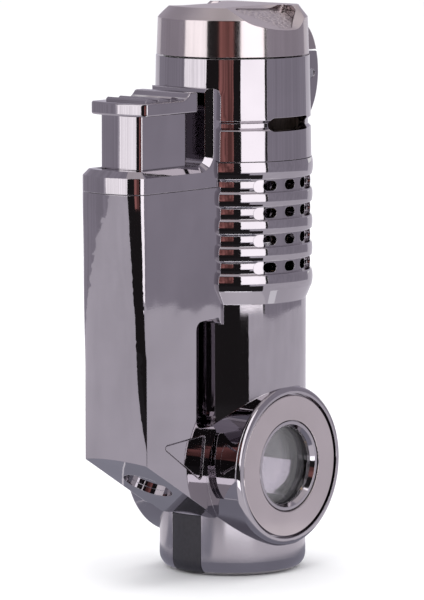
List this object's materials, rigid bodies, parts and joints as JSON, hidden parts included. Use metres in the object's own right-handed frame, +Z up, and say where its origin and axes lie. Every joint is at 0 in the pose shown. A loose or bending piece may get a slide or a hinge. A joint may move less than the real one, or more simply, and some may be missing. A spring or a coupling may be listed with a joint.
{
  "type": "torch lighter",
  "caption": "Pocket gas torch lighter: ribbed round barrel on a round foot, flat leg with a push button beside it, hinged flip cap and round see-through fuel windows.",
  "frame": {"origin": "centre of the round foot's underside, on the axis of the barrel, where the fuel filler's socket opens", "axes": "+Z up along the barrel to the cap, -X towards the leg and its push button, +X towards the cap's hinge, -Y and +Y out of the two fuel windows"},
  "size_m": [0.0446, 0.0244, 0.0855],
  "materials": {
    "dark_chrome": "polished dark grey plating over cast zinc",
    "satin_chrome": "satin dark grey plating, slightly softer than the casings",
    "ring_chrome": "polished dark grey plating on the window rings",
    "clear_glass": "clear, polished",
    "clear_plastic": "clear, slightly smoky fuel tank plastic",
    "black_plastic": "black, fine matt grain",
    "igniter_plastic": "black moulded igniter case",
    "frame_plastic": "grey glass-filled moulding",
    "brass": "turned, lightly tarnished",
    "steel": "bright drawn steel",
    "burnt_steel": "steel tinted by heat",
    "rubber": "black sealing rubber",
    "ceramic": "white ceramic",
    "wire_sleeve": "red insulated wire"
  },
  "bodies": {
    "case": {"main_shell": "dark_chrome", "upper_housing": "dark_chrome", "inner_frame": "frame_plastic", "piezo_body": "igniter_plastic", "piezo_crystal": "ceramic", "piezo_spring": "steel", "lever_pin": "steel", "ignition_wire": "wire_sleeve", "gas_valve_body": "brass", "valve_spring": "steel", "valve_seal": "rubber", "pickup_tube": "frame_plastic", "burner_body": "brass", "burner_jet": "brass", "burner_support": "steel", "burner_tube": "burnt_steel", "flame_disc": "burnt_steel", "electrode": "steel", "electrode_insulator": "ceramic", "heat_shield": "burnt_steel", "fuel_tank": "clear_plastic", "tank_lid": "clear_plastic", "base_insert": "black_plastic", "base_cover": "black_plastic", "fill_valve_body": "brass", "fill_valve_spring": "steel", "regulator_body": "brass", "hinge_pin": "steel", "cap_detent_spring": "steel", "front_window_plate": "satin_chrome", "front_window_bezel": "ring_chrome", "front_window_lens": "clear_glass", "front_window_seal": "rubber", "rear_window_plate": "satin_chrome", "rear_window_bezel": "ring_chrome", "rear_window_lens": "clear_glass", "rear_window_seal": "rubber"},
    "push_button": {"trigger_button": "dark_chrome", "piezo_plunger": "igniter_plastic"},
    "lever": {"valve_lever": "steel"},
    "valve_stem": {"gas_valve_stem": "brass"},
    "flame_dial": {"flame_adjuster": "brass"},
    "filler_stem": {"fill_valve_stem": "brass"},
    "cap": {"flip_cap": "satin_chrome", "cap_liner": "burnt_steel"}
  },
  "joints": [
    {"name": "cap_hinge", "type": "hinge", "parent": "case", "child": "cap", "pos_m": [0.01335, 0, 0.0746], "axis": [0, 1, 0], "range_deg": [0, 105]},
    {"name": "trigger_press", "type": "slide", "parent": "case", "child": "push_button", "axis": [0, 0, -1], "range_m": [0, 0.005], "stiffness_N_per_m": 1500, "springref_m": -0.002, "deforming": ["piezo_spring"]},
    {"name": "lever_rock", "type": "hinge", "parent": "case", "child": "lever", "pos_m": [-0.0095, 0, 0.0434], "axis": [0, -1, 0], "range_deg": [0, 3.62]},
    {"name": "valve_lift", "type": "slide", "parent": "case", "child": "valve_stem", "axis": [0, 0, 1], "range_m": [0, 0.0006], "deforming": ["valve_spring"]},
    {"name": "adjuster_turn", "type": "hinge", "parent": "case", "child": "flame_dial", "pos_m": [-0.0049, 0, 0], "axis": [0, 0, -1], "range_deg": [-120, 120]},
    {"name": "filler_press", "type": "slide", "parent": "case", "child": "filler_stem", "axis": [0, 0, 1], "range_m": [0, 0.001], "stiffness_N_per_m": 400, "springref_m": -0.001, "deforming": ["fill_valve_spring"]}
  ],
  "couplings": [
    {"joint": "lever_rock", "follows": "trigger_press", "rad_per_m": 12.63},
    {"joint": "valve_lift", "follows": "trigger_press", "ratio": 0.12}
  ]
}
